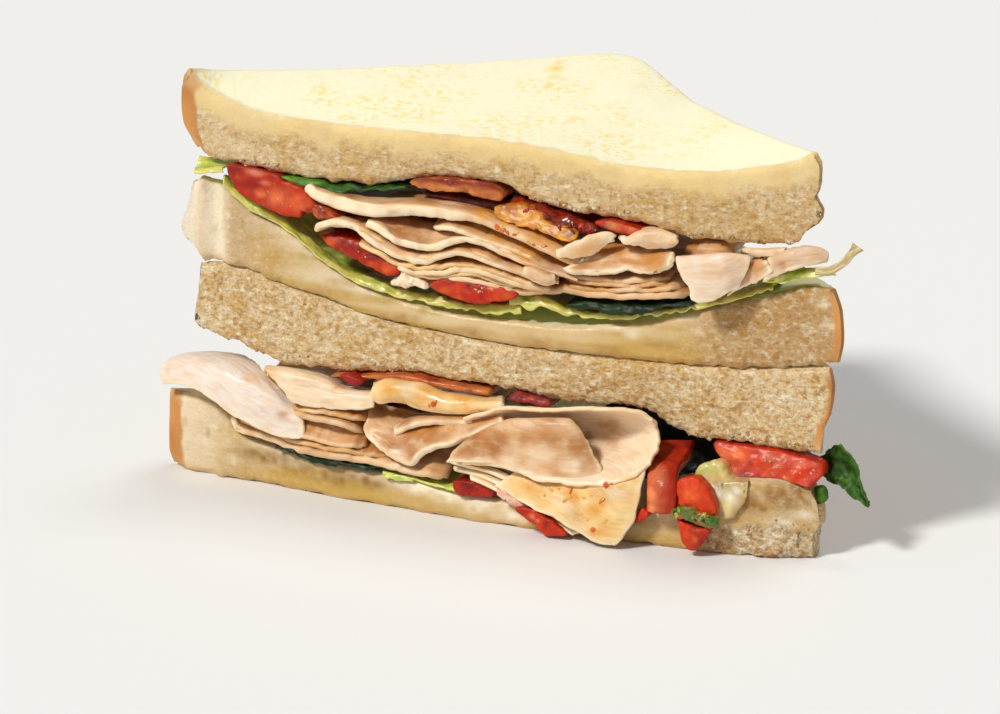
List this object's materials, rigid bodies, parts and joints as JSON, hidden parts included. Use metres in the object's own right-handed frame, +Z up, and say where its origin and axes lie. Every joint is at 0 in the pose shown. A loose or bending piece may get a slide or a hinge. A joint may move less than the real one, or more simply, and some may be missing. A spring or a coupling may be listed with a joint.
{
  "type": "club sandwich",
  "caption": "Stacked triangular club sandwich halves: toasted white bread round folded turkey, tomato, bacon and lettuce, cut face forward.",
  "frame": {"origin": "on the flat underside of the base slice, 27 mm behind the cut face, below the middle of the triangle", "axes": "+X along the cut face from its left tip to its right tip, +Y from the cut face towards the square crust corner, +Z up"},
  "size_m": [0.181, 0.0952, 0.1004],
  "materials": {
    "bread": "toasted white bread, matte open crumb with a thin golden crust",
    "turkey": "moist sliced cooked turkey, soft sheen",
    "tomato": "wet cut tomato",
    "bacon": "fried bacon with a greasy sheen",
    "relish": "wet tomato relish",
    "lettuce": "pale green lettuce, waxy",
    "green_leaf": "dark green spinach leaf, waxy",
    "herb": "chopped herb in tomato juice",
    "shred": "pale dry curled strip"
  },
  "bodies": {
    "root": {"bread_base": "bread", "bread_lower_middle": "bread", "bread_upper_middle": "bread", "bread_top": "bread", "tomato_upper_left": "tomato", "tomato_upper_middle": "tomato", "tomato_upper_right": "tomato", "turkey_upper_scrap": "turkey", "bacon_upper": "bacon", "relish_upper": "relish", "tomato_upper_bit": "tomato", "tomato_lower_left": "tomato", "tomato_lower_front": "tomato", "tomato_lower_slice": "tomato", "tomato_lower_wedge": "tomato", "tomato_lower_tip": "tomato", "tomato_lower_chip": "tomato", "tomato_lower_bit": "tomato", "bacon_lower": "bacon", "bacon_lower_bit": "bacon", "herb_lower": "herb", "turkey_upper_fold": "turkey", "turkey_upper_flap": "turkey", "turkey_upper_right": "turkey", "lettuce_shred_bed": "lettuce", "shred": "shred", "turkey_lower_drape": "turkey", "turkey_lower_vee": "turkey", "turkey_lower_tongue": "turkey", "turkey_lower_bowl": "turkey", "turkey_lower_flap": "turkey", "turkey_lower_under": "turkey", "tomato_lower_stick": "tomato", "lettuce_lower_rib": "lettuce", "leaf_right": "green_leaf", "leaf_curl": "green_leaf", "lettuce_upper_left": "lettuce", "lettuce_upper_right": "lettuce", "leaf_upper_middle": "green_leaf", "turkey_upper_1": "turkey", "turkey_upper_2": "turkey", "turkey_upper_3": "turkey", "turkey_upper_4": "turkey", "turkey_upper_5": "turkey", "turkey_upper_6": "turkey", "turkey_upper_7": "turkey", "lettuce_upper_tip": "lettuce", "leaf_upper_top": "green_leaf", "leaf_lower": "green_leaf", "lettuce_lower": "lettuce", "turkey_lower_1": "turkey", "turkey_lower_2": "turkey", "turkey_lower_3": "turkey", "turkey_lower_4": "turkey", "turkey_lower_5": "turkey"}
  },
  "joints": []
}
